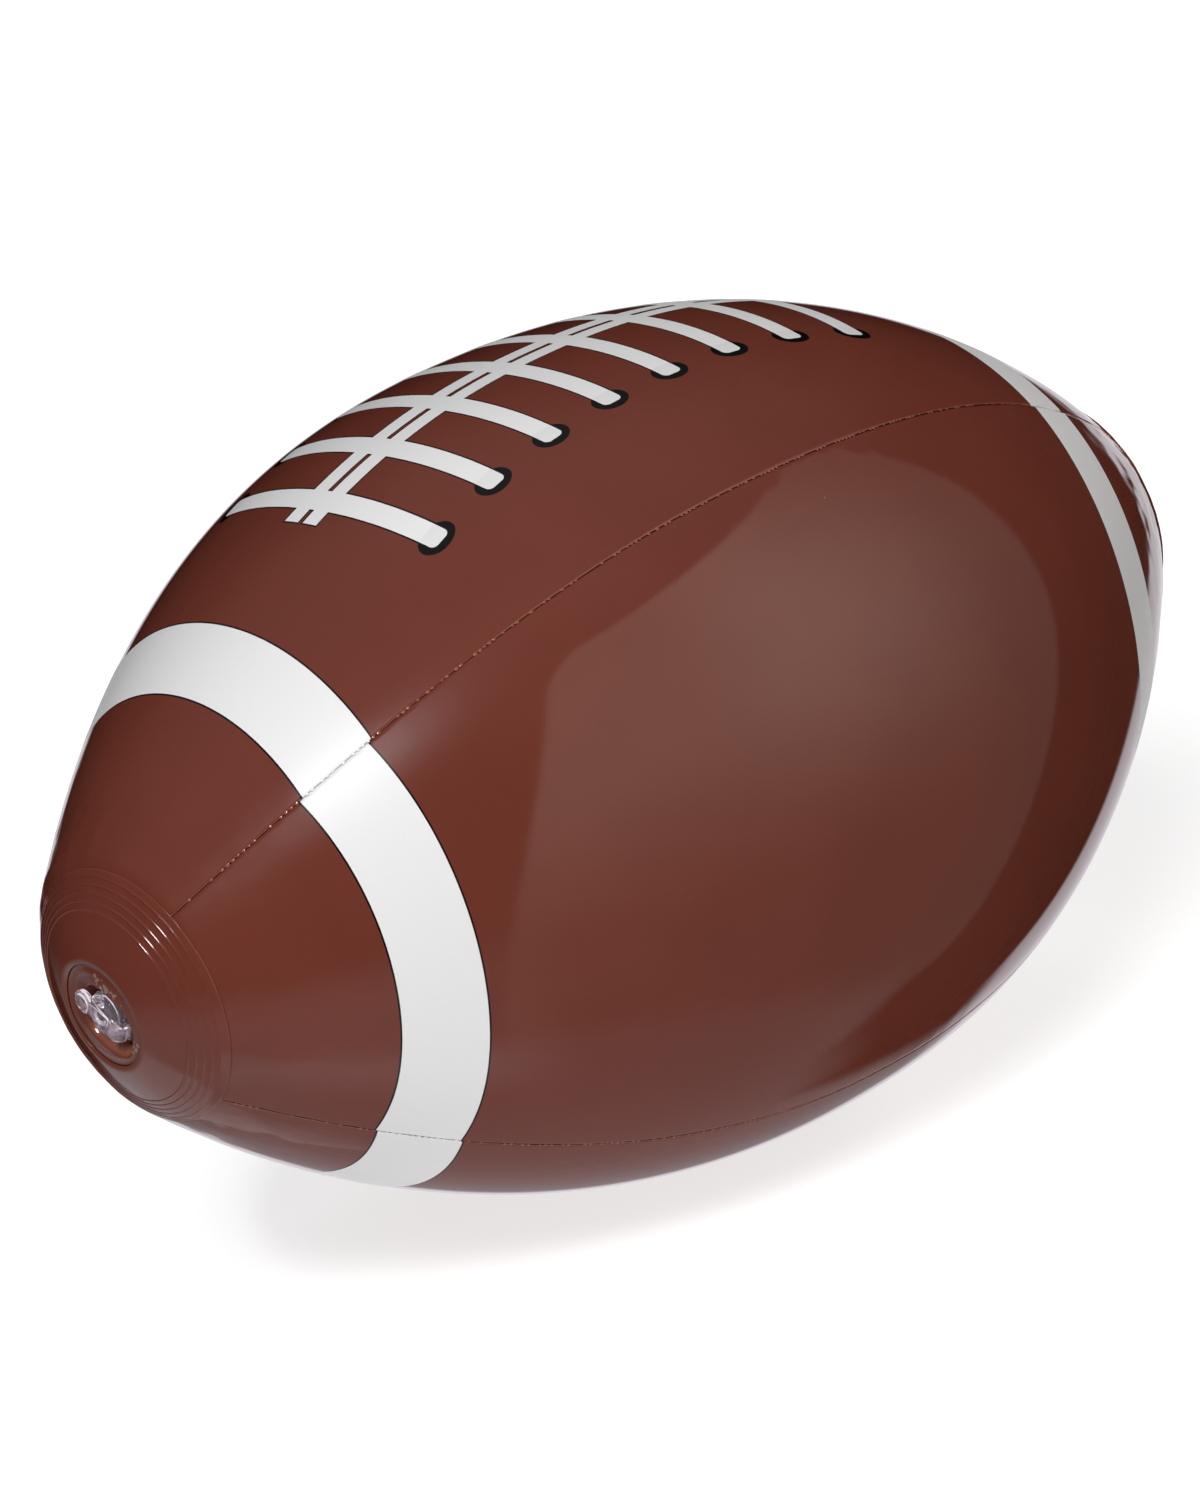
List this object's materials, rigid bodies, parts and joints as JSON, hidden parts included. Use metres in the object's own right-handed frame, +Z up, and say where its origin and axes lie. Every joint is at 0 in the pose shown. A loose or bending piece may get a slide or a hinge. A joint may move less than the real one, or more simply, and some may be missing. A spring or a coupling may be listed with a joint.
{
  "type": "inflatable football beach ball",
  "caption": "Inflated vinyl beach ball in the shape of an American football, with lap-welded panels, round end discs and a push-in plug valve.",
  "frame": {"origin": "middle of the flat patch on which the ball rests, under the middle of the ball", "axes": "+Z up through the lace panel; X along the ball's long axis, with the valve at the -X end"},
  "size_m": [0.3234, 0.1958, 0.1947],
  "materials": {
    "panel_film": "glossy brown vinyl film",
    "disc_film": "glossy brown vinyl film",
    "clear_vinyl": "clear soft vinyl with a faint lilac tint"
  },
  "bodies": {
    "ball": {"lace_panel": "panel_film", "front_panel": "panel_film", "base_panel": "panel_film", "back_panel": "panel_film", "valve_end_disc": "disc_film", "far_end_disc": "disc_film", "valve_well": "disc_film"},
    "valve": {"valve_neck": "clear_vinyl", "valve_skirt": "clear_vinyl"},
    "plug": {"plug": "clear_vinyl", "plug_strap": "clear_vinyl"},
    "flap": {"check_flap": "clear_vinyl"}
  },
  "joints": [
    {"name": "valve_pop", "type": "slide", "parent": "ball", "child": "valve", "axis": [-1, 0, 0], "range_m": [0, 0.011], "deforming": ["valve_well", "valve_skirt"]},
    {"name": "plug_swing", "type": "hinge", "parent": "valve", "child": "plug", "pos_m": [-0.15888, -0.00597, 0.08962], "axis": [0, -0.5592, 0.829], "range_deg": [0, 110]},
    {"name": "flap_open", "type": "hinge", "parent": "valve", "child": "flap", "pos_m": [-0.14058, -0.00464, 0.09052], "axis": [0, 0.5592, -0.829], "range_deg": [0, 75], "stiffness_Nm_per_rad": 0.0002}
  ]
}
